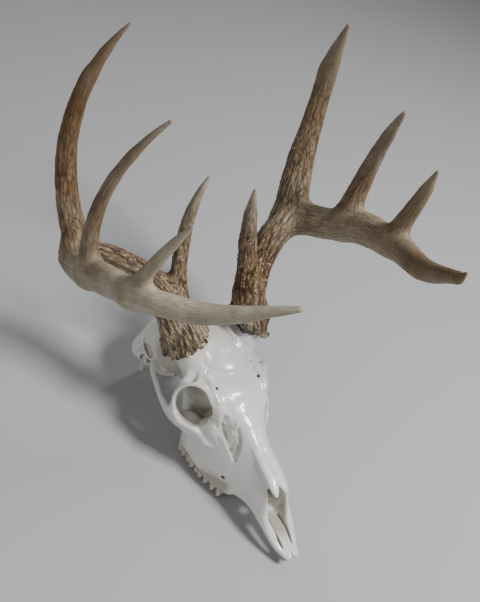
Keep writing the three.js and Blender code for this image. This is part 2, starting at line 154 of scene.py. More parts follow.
ROOF = {
    "crown": [(62, 114), (80, 118), (105, 116), (125, 112), (142, 107), (158, 98), (172, 88)],
    "shoulder_x": [(62, 15), (80, 23), (92, 24), (104, 29), (118, 36), (132, 36), (146, 28), (172, 12.5)],
    "shoulder_z": [(62, 111), (80, 115), (105, 112), (118, 107), (132, 105), (146, 99), (172, 83)],
    "side_x": [(62, 20), (80, 28), (92, 27), (104, 32), (118, 43), (132, 44), (146, 32), (172, 16)],
    "side_z": [(62, 97), (80, 101), (104, 101), (118, 100), (132, 99), (146, 92), (172, 78)],
    "edge_x": [(62, 13), (80, 22), (92, 23), (104, 28), (118, 37), (132, 38), (146, 29), (172, 12)],
    "edge_z": [(62, 92), (80, 96), (104, 95), (118, 94), (132, 93), (146, 87), (172, 74)],
    "keel": [(62, 90), (105, 96), (132, 94), (172, 72)],
}
ORBIT_CENTRE = (43, 126, 82)
ORBIT_FACING = (0.8, 0.56, 0.2)  # out, forward, up
ORBIT_HALF = (20.5, 22.5)        # half width and half height of the opening
ORBIT_DEPTH = 28
RIM_RADIUS = 2.1


def place(side, forward, up):
    """A place on the skull as x, y, z in millimetres."""
    y = REAR_Y - np.asarray(forward, float)
    return np.stack(np.broadcast_arrays(side, y, up), axis=-1).astype(float)


def unit(vectors):
    return vectors / np.maximum(np.linalg.norm(vectors, axis=-1, keepdims=True), 1e-9)


def along(pairs, at):
    """Smooth curve through (at, value) pairs."""
    x, y = np.array(pairs, float).T
    slope = np.empty_like(y)
    slope[1:-1] = (y[2:] - y[:-2]) / (x[2:] - x[:-2])
    slope[0] = (y[1] - y[0]) / (x[1] - x[0])
    slope[-1] = (y[-1] - y[-2]) / (x[-1] - x[-2])
    i = np.clip(np.searchsorted(x, at) - 1, 0, len(x) - 2)
    span = x[i + 1] - x[i]
    t = np.clip((at - x[i]) / span, 0, 1)
    rise = (y[i + 1] - y[i]) * t * t * (3 - 2 * t)
    return y[i] + rise + span * (slope[i] * t * (1 - t) ** 2 - slope[i + 1] * t * t * (1 - t))


def through(points, at, closed=False):
    """Smooth curve through points, at places counted in points."""
    points = np.asarray(points, float)
    count = len(points)
    at = np.asarray(at, float)
    i = np.floor(at).astype(int) if closed else np.clip(np.floor(at).astype(int), 0, count - 2)
    t = (at - i)[:, None]
    if closed:
        p0, p1, p2, p3 = (points[(i + k) % count] for k in (-1, 0, 1, 2))
    else:
        padded = np.vstack([2 * points[0] - points[1], points, 2 * points[-1] - points[-2]])
        p0, p1, p2, p3 = (padded[i + k] for k in (0, 1, 2, 3))
    return 0.5 * (2 * p1 + (p2 - p0) * t + (2 * p0 - 5 * p1 + 4 * p2 - p3) * t ** 2
                  + (3 * p1 - p0 - 3 * p2 + p3) * t ** 3)


def body_from(rings, closed=False):
    """Closed body from rings of points: its points and triangles."""
    rings = np.asarray(rings, np.float32)
    count, sides = rings.shape[:2]
    r, s = np.meshgrid(np.arange(count if closed else count - 1), np.arange(sides), indexing="ij")
    a, b = r * sides + s, r * sides + (s + 1) % sides
    c, d = ((r + 1) % count) * sides + (s + 1) % sides, ((r + 1) % count) * sides + s
    triangles = [np.stack([a, b, c], -1).reshape(-1, 3), np.stack([a, c, d], -1).reshape(-1, 3)]
    points = rings.reshape(-1, 3)
    if not closed:
        hubs = rings[[0, -1]].mean(axis=1)
        s = np.arange(sides)
        for k, first in enumerate((0, (count - 1) * sides)):
            hub = np.full(sides, len(points) + k)
            triangles.append(np.stack([first + (s + 1) % sides, first + s, hub], -1))
        points = np.vstack([points, hubs])
    return points.astype(np.float32), np.vstack(triangles).astype(np.uint32)


def loft(shape, start, end, spacing=1.5, sides=64):
    """Body whose sections follow a set of along-the-skull curves."""
    rings = []
    for forward in np.linspace(start, end, int((end - start) / spacing) + 1):
        value = {name: float(along(pairs, forward)) for name, pairs in shape.items()}
        half = [(value["shoulder_x"], value["shoulder_z"]), (value["side_x"], value["side_z"]),
                (value["edge_x"], value["edge_z"])]
        loop = [(0, value["crown"]), *half, (0, value["keel"]), *[(-x, z) for x, z in half[::-1]]]
        outline = through(loop, np.arange(sides) * len(loop) / sides, closed=True)
        rings.append(place(outline[:, 0], forward, outline[:, 1]))
    return body_from(rings)


def bar(rows, up=(0, 0, 1), sides=20, fineness=8):
    """Round-ended bar through rows of (side, forward, up, half height, half thickness)."""
    track = through(rows, np.linspace(0, len(rows) - 1, fineness * (len(rows) - 1) + 1))
    centres = place(*track[:, :3].T)
    tangents = unit(np.gradient(centres, axis=0))
    radii = np.maximum(track[:, 3:5], 0.25)
    bulge = np.array([0.96, 0.8, 0.5])
    first = centres[0] - np.outer(bulge, tangents[0]) * radii[0].min()
    last = centres[-1] + np.outer(bulge[::-1], tangents[-1]) * radii[-1].min()
    shrink = np.sqrt(1 - bulge ** 2)[:, None]
    centres = np.vstack([first, centres, last])
    tangents = np.vstack([tangents[:1].repeat(3, 0), tangents, tangents[-1:].repeat(3, 0)])
    radii = np.vstack([shrink * radii[0], radii, shrink[::-1] * radii[-1]])
    across = unit(np.cross(tangents, np.array(up, float)))
    height = np.cross(across, tangents)
    angle = np.linspace(0, 2 * np.pi, sides, endpoint=False)
    rings = (centres[:, None] + across[:, None] * (radii[:, 1:] * np.cos(angle))[..., None]
             + height[:, None] * (radii[:, :1] * np.sin(angle))[..., None])
    return body_from(rings)


def lump(centre, radii, axes=np.eye(3), fineness=20):
    """Ellipsoid: centre as (side, forward, up), half sizes along its own axes."""
    polar = np.linspace(0.06, np.pi - 0.06, fineness)
    angle = np.linspace(0, 2 * np.pi, 2 * fineness, endpoint=False)
    ball = np.stack([np.outer(np.sin(polar), np.cos(angle)), np.outer(np.sin(polar), np.sin(angle)),
                     np.outer(np.cos(polar), np.ones_like(angle))], axis=-1)
    return body_from(place(*centre) + (ball * np.array(radii, float)) @ np.asarray(axes))


def ring(centre, axes, half, radial, axial):
    """Ring round the third of its axes, with an elliptical section."""
    turn = np.linspace(0, 2 * np.pi, 72, endpoint=False)
    angle = np.linspace(0, 2 * np.pi, 16, endpoint=False)
    reach = radial * np.cos(angle)
    points = np.stack([np.outer(np.cos(turn), reach) + half[0] * np.cos(turn)[:, None],
                       np.outer(np.sin(turn), reach) + half[1] * np.sin(turn)[:, None],
                       np.outer(np.ones_like(turn), axial * np.sin(angle))], axis=-1)
    return body_from(place(*centre) + points @ np.asarray(axes), closed=True)


def facing_axes(out, forward, up):
    """Level, upright and facing directions of something that looks that way."""
    facing = unit(np.array([out, -forward, up], float))
    level = unit(np.cross((0, 0, 1), facing))
    return np.array([level, np.cross(facing, level), facing])


class Clay:
    """Solid kept as signed distances in millimetres, negative inside."""

    def __init__(self, low, high, voxel=VOXEL):
        self.voxel = voxel
        self.start = np.floor(np.array(low) / voxel).astype(int)
        shape = np.ceil(np.array(high) / voxel).astype(int) - self.start
        self.field = np.full(shape, BAND, np.float32)

    def near(self, body):
        """The part of the grid round a body, and the distances from the body there."""
        points, triangles = body
        low = np.floor((points.min(0) - BAND) / self.voxel).astype(int) - self.start
        high = np.ceil((points.max(0) + BAND) / self.voxel).astype(int) - self.start
        low, high = np.clip(low, 0, self.field.shape), np.clip(high, 0, self.field.shape)
        grid = openvdb.FloatGrid.createLevelSetFromPolygons(
            points, triangles=triangles, transform=openvdb.createLinearTransform(self.voxel),
            halfWidth=BAND / self.voxel)
        distances = np.empty(high - low, np.float32)
        grid.copyToArray(distances, ijk=tuple(int(v) for v in low + self.start))
        return tuple(slice(a, b) for a, b in zip(low, high)), distances

    def add(self, body, blend=0.0):
        """Joins a body on, with a smooth fillet of about the blend in size."""
        window, distances = self.near(body)
        self.field[window] = smooth_least(self.field[window], distances, blend)

    def cut(self, body, blend=0.0):
        window, distances = self.near(body)
        self.field[window] = -smooth_least(-self.field[window], distances, blend)

    def places(self):
        """Side, forward and up of every grid place, ready to broadcast."""
        x, y, z = ((np.arange(n) + s) * self.voxel for n, s in zip(self.field.shape, self.start))
        return x[:, None, None], REAR_Y - y[None, :, None], z[None, None, :]


def smooth_least(a, b, blend):
    least = np.minimum(a, b)
    if blend:
        share = np.clip(1 - np.abs(a - b) / blend, 0, 1)
        share[np.maximum(a, b) > 0.98 * BAND] = 0
        least -= share * share * blend / 4
    return least


orbit_axes = facing_axes(*ORBIT_FACING)
clay = Clay((-12, REAR_Y - 294, -4), (68, REAR_Y + 8, 130))
clay.add(loft(CRANIUM, -1, 150))
clay.add(loft(FACE, 108, 287), 8)
clay.add(loft(ROOF, 62, 172), 5)

# Rear: condyles beside the spinal opening, the crest that the neck pulls on,
# the prongs that carry the rear of the skull, ear capsules and jaw joints.
clay.add(lump((13, 7, 45), (8, 9, 11)), 3)
clay.add(bar([(44, 9, 43, 5, 2.2), (42.5, 6, 52, 5, 2.4), (36, 6, 64, 4.4, 2), (28, 5, 75, 4.4, 2),
              (16, 4, 82, 5.5, 2.4), (0, 3, 86, 6, 3), (-16, 4, 82, 5.5, 2.4)], up=(0, 1, 0)), 4)
clay.add(bar([(0, 3, 84, 4, 2), (0, 1, 76, 5, 2), (0, 2, 68, 4, 2)], up=(0, 1, 0)), 4)
clay.add(bar([(42, 12, 46, 8, 4), (36, 20, 50, 9, 6), (32, 18, 34, 8, 4), (27, 9, 14, 5, 3.2),
              (26, 8, 2, 3.4, 2.4)], up=(0, 1, 0)), 4)
clay.add(lump((17, 38, 36), (7, 12, 8)), 3)
clay.add(bar([(28, 36, 44, 6, 6), (38, 31, 47, 5, 5), (43, 28, 48, 4, 3.8)]), 3)
clay.add(lump((35, 54, 62), (13, 14, 4.5)), 4)
clay.add(lump((29, 54, 70), (11, 17, 13)), 6)
clay.add(bar([(30, 62, 63, 3, 5), (31, 68, 64, 2.2, 3), (33, 74, 62.5, 1.0, 1.1)]), 2)
clay.add(lump((36, 46, 49), (6, 3.5, 7)), 3)
clay.cut(lump((38, 77, 49), (10, 9, 12)), 2)
clay.add(lump((13, 98, 60), (19, 14, 44)), 8)
clay.add(bar([(16, 100, 34, 12, 5), (13, 88, 20, 4, 2), (13, 84, 15, 3, 1.6)], up=(0, 1, 0.4)), 4)
clay.add(bar([(25, 66, 107, 3, 3), (22, 45, 104, 2.5, 2.5), (16, 22, 97, 2.5, 2.5), (12, 8, 90, 3, 3)]), 4)
clay.cut(lump((0, 0, 57), (9, 13, 8)), 3)
clay.cut(bar([(49, 27, 49, 2.2, 2.2), (36, 31, 47, 2.2, 2.2)]), 1)
clay.cut(bar([(40, 20, 60, 3, 3), (38, 30, 62, 4, 3.4), (36, 36, 60, 2, 2)]), 3)
clay.cut(lump((27, 30, 37), (3, 4, 5)), 2)
clay.cut(lump((43, 25, 47), (5, 4, 5)), 1.5)
clay.add(lump((44.5, 22, 44), (2.4, 2.4, 2.4)), 0.8)
clay.add(lump((43, 33, 50), (1.8, 1.8, 1.8)), 0.8)
clay.add(bar([(40, 10, 64, 1.2, 1.2), (41.5, 18, 60, 1.8, 1.8), (42, 26, 57, 1.8, 1.8),
              (42, 36, 56, 1.2, 1.2)]), 2)

# Cheek arches: a strap from the jaw joint to the face, under the eye, and the
# bar that rises from it behind the eye.
clay.add(bar([(38, 42, 58, 6, 5), (47, 54, 59, 5, 4), (53, 72, 59, 4.4, 2.6), (57, 94, 57, 5, 2.4),
              (56.5, 112, 56, 7, 3.4), (50, 129, 55.5, 7.5, 4.4), (41, 145, 54, 6, 4.5),
              (33, 158, 52, 3, 3)]), 4)
clay.add(bar([(35, 105, 101, 6, 4), (45, 104.5, 98, 4.2, 3), (51, 106, 88, 3, 2.4), (55, 108, 72, 3, 2.4),
              (56, 110, 61, 5, 3)], up=(0, 1, 0)), 4)

# Eye sockets: a thin ring of bone, closed in front and above, with the hollow
# of the eye inside it, a plate of bone for its floor, and the knobs and holes of
# the tear ducts on its front edge.
clay.add(lump((26, 147, 86), (7, 11, 8)), 6)
clay.add(lump((30.5, 147, 66), (9, 13, 12)), 10)
clay.add(ring(ORBIT_CENTRE, orbit_axes, np.add(ORBIT_HALF, RIM_RADIUS), RIM_RADIUS, 3.2), 3)
clay.add(bar([(56, 110, 63, 5, 3.4), (54, 120, 60, 6, 5), (47, 138, 62, 7, 5)]), 4)
clay.cut(lump(ORBIT_CENTRE, (*ORBIT_HALF, ORBIT_DEPTH), orbit_axes), 2)
clay.add(lump((14, 112, 70), (12.5, 15, 22)), 6)
clay.add(lump((38, 127, 53), (15, 17, 4)), 2)
clay.add(lump((35, 145, 80), (2.2, 2.2, 2.6)), 2)
clay.cut(bar([(38, 143, 82, 1, 1), (33, 147, 80, 0.8, 0.8)]), 0.8)
clay.add(bar([(30, 116, 109, 2.5, 2.5), (29, 126, 108.5, 2.6, 2.8), (30, 135, 105, 2.6, 2.4),
              (29, 144, 101, 1.6, 1.8)]), 4)

# Face: the ridge that the chewing muscle pulls on, the hollow above the teeth,
# the thin side of the nose, and the long gap before the eye with the crinkled
# plate that closes it a few millimetres down.
LEDGE = [(55, 124, 58.5, 2.8, 2.5), (52.3, 132, 60.5, 2.2, 2), (47.6, 140, 62, 1.9, 1.8),
         (43.4, 146, 60.5, 1.5, 1.5), (40.6, 151, 57, 1.1, 1.1), (39, 156, 53, 0.7, 0.7)]
under_ledge = np.array(LEDGE[1:], float) + (3.0, -0.4, -4.6, 0.4, -0.4)
clay.add(bar(LEDGE), 6)
clay.cut(bar(under_ledge), 0.8)
TOOTH_CREASE = [(39.5, 126, 20), (39.5, 138, 21.5), (38.5, 150, 19), (37, 159, 20), (35.5, 168, 24),
                (33, 177, 28), (30, 186, 31), (26.5, 197, 33)]
clay.cut(bar([(*point, 0.8, 1.5) for point in TOOTH_CREASE], fineness=10), 1.2)
clay.cut(bar([(36, 150, 86, 1, 1), (35, 153, 83, 1, 1), (30.6, 157, 74, 1, 1), (30.4, 163, 64, 1, 1),
              (29.4, 172, 56, 0.6, 0.6)], fineness=10), 1.5)
GAP_FACING = np.array([0.85, 0.45, 0.26])        # out, forward, up: the way that the gap looks
GAP_ACROSS = np.array([-0.44, 0.36, 0.83])       # across its plate
PLATE_SUNK = 4.6
CRINKLES = 26
gap_up = GAP_FACING * (1, -1, 1)
gap_track = np.array([(27, 158, 91), (24, 163, 84), (21.5, 170, 76), (21, 178, 67), (22.5, 186, 57)], float)
clay.cut(bar(np.column_stack([gap_track, [4, 8, 9, 8, 3], [5.4, 9, 9.8, 7.6, 2.6]]), up=gap_up,
             fineness=12), 0.6)
plate_track = gap_track - PLATE_SUNK * GAP_FACING
clay.add(bar(np.column_stack([plate_track, [1.8, 2.4, 2.4, 2.2, 1.4], [4.4, 7.8, 8.4, 6.2, 1.8]]), up=gap_up,
             fineness=12), 0.4)
chance = np.random.default_rng(8)
for _ in range(CRINKLES):
    at, shift = chance.uniform(0.1, 3.9), chance.uniform(-1, 1)
    plate_half = np.interp(at, range(5), (3, 6, 7, 5, 1))
    spot = through(plate_track, [at])[0] + shift * plate_half * GAP_ACROSS
    run = chance.normal(0, 1, 3) * (0.6, 1.6, 2.6)
    spot += chance.uniform(1.6, 2.8) * GAP_FACING
    bend = spot + chance.normal(0, 0.6, 3)
    clay.add(bar([(*(spot - run), 0.8, 0.5), (*bend, 1.1, 0.7), (*(spot + run), 0.8, 0.5)]), 0.8)
clay.cut(bar([(27, 161, 84, 2, 1), (26, 161.6, 83.4, 1.5, 1)]), 0.5)

# Antler stumps, which lean out so that their inner sides stand taller, and the
# rounded crown of bone that rises between them.
clay.add(bar([(26, 93, 92, 13, 15), (31, 86.5, 107, 14.5, 16), (36, 80, 120, 16.2, 17),
              (38.5, 76.5, 126, 16.6, 17.4)], up=(1, 0, 0), sides=32), 9)
clay.add(lump((25, 80, 127), (9, 13, 14)), 8)
clay.add(lump((0, 80, 112), (24, 34, 11)), 16)

# Nose: the open passage, the trough between the two front bones, their long
# slots, the nick at the tip, and the free tips of the nasal bones.
clay.cut(lump((0, 222, 46), (11, 36, 15)), 3)
clay.cut(bar([(0, 228, 51, 22, 8.5), (0, 240, 45.5, 22, 10), (0, 248, 42, 21, 12), (0, 256, 38, 19, 11.5),
              (0, 266, 33, 15.5, 9.2), (0, 275, 28, 11, 6.2), (0, 281, 25.5, 8.5, 3.6)],
             fineness=12, sides=32), 3)
clay.add(bar([(0, 232, 23.5, 2.4, 13), (0, 248, 20, 2.3, 12.5), (0, 264, 15.5, 2.2, 10),
              (0, 280, 12.5, 2.2, 6.5)], sides=32), 3)
clay.cut(bar([(6.4, 243, 22, 9, 0.7), (7, 252, 18, 9, 1.4), (7, 264, 14, 9, 1.7),
              (6, 274, 12, 9, 0.7)]), 0.8)
clay.cut(bar([(0, 290, 14, 12, 0.7), (0, 279, 16, 12, 0.5)]), 0.6)
clay.add(bar([(3, 174, 82, 1.4, 2.4), (4.4, 190, 76.4, 2.2, 4.4), (5.2, 206, 71.8, 2.8, 5.8),
              (5.2, 218, 68.2, 2.7, 5.8), (5.2, 228, 64.8, 2.4, 5.8), (5.8, 235, 62.2, 1.9, 5),
              (6.8, 241, 59.6, 1.2, 2.4)]), 4)
clay.cut(lump((0, 106, 32), (9, 26, 11)), 5)

# Small openings: nerve holes of the forehead and the face.
NERVE_HOLES = [
    [(26.5, 133, 112, 1.9, 1.9), (26, 128, 102, 1.5, 1.5)],
    [(27.5, 112, 116, 1.2, 1.2), (27, 111, 104, 1.1, 1.1)],
    [(31, 190, 31.5, 1.6, 2), (22, 181, 29, 1.4, 1.4)],
    [(42, 146, 88, 1.5, 1.5), (31, 142, 84, 1.3, 1.3)],
]
for hole in NERVE_HOLES:
    clay.cut(bar(hole), 1.5)
clay.cut(bar([(25, 129, 111.5, 1, 1.8), (27, 141, 107, 1, 1.6), (28, 151, 100, 0.8, 1)]), 2)


def grid_noise(shape, voxel, cell, seed):
    """Smooth random swellings over a grid, about 1 high at their strongest."""
    lattice = np.random.default_rng(seed).standard_normal([int(n * voxel / cell) + 4 for n in shape])
    for axis, count in enumerate(shape):
        at = np.arange(count) * voxel / cell
        i, t = at.astype(int), at % 1
        spline = ((1 - t) ** 3, 3 * t ** 3 - 6 * t ** 2 + 4, -3 * t ** 3 + 3 * t ** 2 + 3 * t + 1, t ** 3)
        weights = np.zeros((count, lattice.shape[axis]))
        for k, share in enumerate(spline):
            weights[np.arange(count), i + k] = share / 6
        lattice = np.moveaxis(np.tensordot(weights, lattice, (1, axis)), 0, axis)
    return lattice.astype(np.float32)


def blurred(field, reach):
    """Mean of a field over a box that reaches so many grid steps each way."""
    for axis in range(3):
        padded = np.pad(field, [(reach + 1, reach) if a == axis else (0, 0) for a in range(3)], mode="edge")
        total = np.cumsum(padded, axis=axis, dtype=np.float64)
        ahead = [slice(None)] * 3
        behind = [slice(None)] * 3
        ahead[axis] = slice(2 * reach + 1, None)
        behind[axis] = slice(None, -2 * reach - 1)
        field = ((total[tuple(ahead)] - total[tuple(behind)]) / (2 * reach + 1)).astype(np.float32)
    return field


right_edge = 1 - clay.start[0]
clay.field = np.concatenate([clay.field[right_edge:][::-1], clay.field[right_edge - 1:]])
clay.start[0] = 1 - (clay.field.shape[0] + 1) // 2
clay.field = blurred(clay.field, 1)
broad_swell = 0.55 * grid_noise(clay.field.shape, VOXEL, 17, 3)
fine_swell = 0.21 * grid_noise(clay.field.shape, VOXEL, 5, 4)
clay.field += broad_swell + fine_swell
side, forward, up = clay.places()
LOWEST_BONE = 1.0                # mm up, so that the tooth crowns stay the lowest
clay.field = np.maximum(clay.field, LOWEST_BONE - up)


def sampled(field, at):
    """Values of a field at places counted in grid steps."""
    at = np.clip(at, 0, np.array(field.shape) - 1.001)
    i = at.astype(int)
    t = at - i
    total = np.zeros(len(at))
    for corner in np.ndindex(2, 2, 2):
        weight = np.prod(np.where(corner, t, 1 - t), axis=1)
        total += weight * field[tuple((i + corner).T)]
    return total


def main_parts(quads, count):
    """Which quads belong to parts that hold more than a fiftieth of the points."""
    label = np.arange(count)
    while True:
        least = label[quads].min(axis=1)
        new = label.copy()
        for k in range(4):
            np.minimum.at(new, quads[:, k], least)
        new = new[new]
        if np.array_equal(new, label):
            break
        label = new
    sizes = np.bincount(label, minlength=count)
    return sizes[label[quads[:, 0]]] > 0.02 * count


def surface_of(clay, field):
    """Points in millimetres and outward quads of a field's surface."""
    grid = openvdb.FloatGrid(BAND)
    grid.copyFromArray(np.ascontiguousarray(field, np.float32), ijk=tuple(int(v) for v in clay.start))
    grid.transform = openvdb.createLinearTransform(clay.voxel)
    points, quads = grid.convertToQuads(0.0)
    quads = quads.astype(np.int64)
    quads = quads[main_parts(quads, len(points))]
    used = np.unique(quads)
    renumbered = np.zeros(len(points), np.int64)
    renumbered[used] = np.arange(len(used))
    points, quads = points[used].astype(float), renumbered[quads]
    a, b, c, d = (points[quads[:, k]] for k in range(4))
    if np.einsum("ij,ij->", a, np.cross(b, c)) + np.einsum("ij,ij->", a, np.cross(c, d)) < 0:
        quads = quads[:, ::-1]
    return points, quads


def slope_at(field, steps):
    """Direction in which a field rises at places counted in grid steps."""
    shifts = 0.8 * np.eye(3)
    return unit(np.stack([sampled(field, steps + d) - sampled(field, steps - d) for d in shifts], -1))


def piece_from(name, points, quads, material, normals=None, **attributes):
    """Smooth object from points in millimetres, with a value for each point."""
    mesh = bpy.data.meshes.new(name)
    mesh.vertices.add(len(points))
    mesh.vertices.foreach_set("co", (points * METRES).ravel().astype(np.float32))
    mesh.loops.add(quads.size)
    mesh.loops.foreach_set("vertex_index", quads.ravel().astype(np.int32))
    mesh.polygons.add(len(quads))
    mesh.polygons.foreach_set("loop_start", np.arange(0, quads.size, 4, dtype=np.int32))
    mesh.update(calc_edges=True)
    mesh.validate()
    mesh.polygons.foreach_set("use_smooth", np.ones(len(quads), bool))
    for key, values in attributes.items():
        kind, field = ("FLOAT_VECTOR", "vector") if values.ndim == 2 else ("FLOAT", "value")
        mesh.attributes.new(key, kind, "POINT").data.foreach_set(field, values.ravel().astype(np.float32))
    if normals is not None:
        mesh.normals_split_custom_set_from_vertices(normals)
    mesh.materials.append(material)
    piece = bpy.data.objects.new(name, mesh)
    bpy.context.scene.collection.objects.link(piece)
    return piece


# ---- Finish of the bone ---------------------------------------------------
# Bleached bone under a clear gloss coat: white where it stands out, cream in
# clouds, painted olive shade in the hollows and painted dark shade in the creases,
# with fine pores and a slow waver in the coat.
BONE_WHITE = (0.80, 0.78, 0.74, 1)
# olive colour of the painted shade in the hollows
PAINTED_SHADE_OLIVE = (0.26, 0.235, 0.15, 1)
BONE_CREAM = (0.62, 0.56, 0.43, 1)
# dark colour of the painted shade in the creases
PAINTED_CREASE_SHADE = (0.10, 0.075, 0.045, 1)
NOISE_ROUGHNESS = 0.55


def mixed(factor, first, second):
    """Mix of two colours or sockets by a socket, in the material being made."""
    mix = nodes.new("ShaderNodeMix")
    mix.data_type = "RGBA"
    links.new(factor, mix.inputs["Factor"])
    for socket, value in ((mix.inputs[6], first), (mix.inputs[7], second)):
        if isinstance(value, tuple):
            socket.default_value = value
        else:
            links.new(value, socket)
    return mix.outputs[2]


def ranged(source, low, high, to_low=0.0, to_high=1.0):
    """A socket's values from low to high, eased onto another range."""
    node = nodes.new("ShaderNodeMapRange")
    node.interpolation_type = "SMOOTHSTEP"
    for key, value in (("From Min", low), ("From Max", high), ("To Min", to_low), ("To Max", to_high)):
        node.inputs[key].default_value = value
    links.new(source, node.inputs["Value"])
    return node.outputs["Result"]


def noise(scale, detail=3.0, vector=None):
    """Noise over the object's own coordinates, in features per metre."""
    node = nodes.new("ShaderNodeTexNoise")
    node.inputs["Scale"].default_value = scale
    node.inputs["Detail"].default_value = detail
    node.inputs["Roughness"].default_value = NOISE_ROUGHNESS
    if vector is None:
        vector = nodes.new("ShaderNodeTexCoord").outputs["Object"]
    links.new(vector, node.inputs["Vector"])
    return node.outputs["Fac"]


def attribute(name):
    node = nodes.new("ShaderNodeAttribute")
    node.attribute_name = name
    return node.outputs["Fac"]


def bumped(height, distance, strength=1.0, normal=None):
    """Normal roughened by a height, over a distance in metres."""
    node = nodes.new("ShaderNodeBump")
    node.inputs["Distance"].default_value = distance
    node.inputs["Strength"].default_value = strength
    links.new(height, node.inputs["Height"])
    if normal is not None:
        links.new(normal, node.inputs["Normal"])
    return node.outputs["Normal"]


bone, nodes, links, shader = finish_of("gloss_coated_bone")
deep = attribute("deep")
hollow = attribute("hollow")
clouds = noise(45, 4)
colour = mixed(ranged(clouds, 0.45, 0.85, 0, 0.3), BONE_WHITE, BONE_CREAM)
# painted olive shade where bone crowds round, above the teeth, in the nose trough, in the eye socket and at
# the temple
colour = mixed(ranged(deep, 0.02, 0.36, 0, 0.9), colour, PAINTED_SHADE_OLIVE)
# painted dark shade in the creases, by their concavity
colour = mixed(ranged(hollow, 0.25, 1.0, 0, 0.75), colour, PAINTED_CREASE_SHADE)
links.new(colour, shader.inputs["Base Color"])
links.new(ranged(clouds, 0.3, 0.8, 0.28, 0.46), shader.inputs["Roughness"])
shader.inputs["Coat Weight"].default_value = 0.9
shader.inputs["Coat Roughness"].default_value = 0.07
pores = bumped(noise(900, 3), 0.0003, 0.25)
waver = bumped(noise(120, 3), 0.0010, 0.35, pores)
links.new(waver, shader.inputs["Normal"])
links.new(bumped(noise(110, 2), 0.0012, 0.4), shader.inputs["Coat Normal"])

# ---- Bones of the skull ---------------------------------------------------
# The bones meet at sutures, fine wandering joints. Each bone is taken out of
# the skull where its suture runs, and keeps its own edge.
TEMPLE_CENTRE = (33, 58, 80)     # middle of the hollow at the temple
TEMPLE_HALF = (20, 34, 24)
SUTURE_LAP = 0.4                 # mm that two bones share along their joint
wander = 1.1 * grid_noise(clay.field.shape, VOXEL, 4, 11) + 1.6 * grid_noise(clay.field.shape, VOXEL, 12, 12)
# concavity of the surface, carried as hollow, which paints dark shade into the creases
near_hollow = clay.field - blurred(np.clip(clay.field, -4, 4), 4)
CROWD_STEP = 3                   # grid steps between the places where crowding is kept
CROWD_REACH = 14                 # mm in front of the surface where it is read
CROWD_TOP = 116                  # mm up, where the open top of the skull begins
# how much bone fills each coarse cell; read in front of the surface, it paints shade where bone crowds round
bone_filled = (clay.field[::CROWD_STEP, ::CROWD_STEP, ::CROWD_STEP] < 0).astype(np.float32)
crowding = blurred(blurred(bone_filled, 3), 3)


def box_region(low, high):
    """Distance from a box between two corners, its faces made to wander."""
    outside = [low[0] - side, side - high[0], low[1] - forward, forward - high[1], low[2] - up, up - high[2]]
    region = np.full(clay.field.shape, -1e3, np.float32)
    for distance in outside:
        np.maximum(region, distance, out=region)
    return region + wander


def within(value, edge, ease):
    """0 up to an edge, rising to 1 over a distance past it."""
    return np.clip((value - edge) / ease, 0, 1)


def painted_shade_at(points, steps, normals):
    """How much painted olive shade the bone gets: where other bone crowds it, above the
    teeth, in the trough of the nose, in the eye socket and at the temple."""
    out, ahead, above = np.abs(points[:, 0]), REAR_Y - points[:, 1], points[:, 2]
    crowd = sampled(crowding, (steps + normals * CROWD_REACH / VOXEL) / CROWD_STEP)
    crowd *= within(CROWD_TOP, above, 10)
    crease = along([row[1:] for row in TOOTH_CREASE], ahead)
    over_teeth = within(crease, above, 5) * within(ahead, 108, 8) * within(203, ahead, 8)
    trough = within(along(FACE["crown"], ahead), above, 8) * within(ahead, 232, 8) * within(13, out, 3)
    seen = place(out, ahead, above)
    from_eye = (seen - place(*ORBIT_CENTRE)) @ orbit_axes.T
    eye = np.linalg.norm(from_eye / (*np.add(ORBIT_HALF, 4), ORBIT_DEPTH + 20), axis=1)
    socket = np.clip(5 * (1.12 - eye), 0, 1) * np.clip((above - 58) / 4, 0.15, 1)
    socket *= within(-3, from_eye[:, 2], 4)
    temple = np.linalg.norm((seen - place(*TEMPLE_CENTRE)) / TEMPLE_HALF, axis=1)
    hollow = np.clip(2.4 * (1 - temple), 0, 1)
    return np.maximum.reduce([0.8 * crowd, 0.28 * over_teeth, 0.27 * trough, 0.24 * socket, 0.24 * hollow])


nasal_top = along([(150, 84), (164, 82), (200, 68), (241, 53)], forward)
nasal_edge = along([(150, 3), (166, 8.5), (180, 12), (215, 12), (241, 11)], forward)
NASAL = np.maximum(np.maximum(np.abs(side) - nasal_edge, nasal_top - up), 163 - forward) + 0.4 * wander
FRONT = 238 + 0.4 * (up - 30) - forward + 0.5 * wander
cheek_inside = 47 - side - 0.6 * np.maximum(0, forward - 118)
CHEEK = np.maximum(box_region((39, 66, 30), (80, 152, 68)), cheek_inside)
JAW = box_region((-60, 110, -5), (60, 262, 64))
BROW = box_region((-70, 56, 68), (70, 300, 200))
OCCIPUT = forward - 21 + 0.12 * (up - 60) + wander
LEFT_HALF = 0.6 * wander - side
BONES = [
    ("nasal_bone_left", [NASAL, LEFT_HALF], "nose_bones"),
    ("nasal_bone_right", [NASAL], "nose_bones"),
    ("front_bone_left", [FRONT, LEFT_HALF], "nose_tip_left"),
    ("front_bone_right", [FRONT], "nose_tip_right"),
    ("cheek_bone_left", [CHEEK], "cheek_arch_left"),
    ("cheek_bone_right", [CHEEK[::-1]], "cheek_arch_right"),
    ("upper_jaw_left", [JAW, LEFT_HALF], "upper_jaw"),
    ("upper_jaw_right", [JAW], "upper_jaw"),
    ("forehead_left", [BROW, LEFT_HALF], "forehead"),
    ("forehead_right", [BROW], "forehead"),
    ("occiput", [OCCIPUT], "braincase"),
    ("braincase_shell", [], "braincase"),
]
rest = clay.field
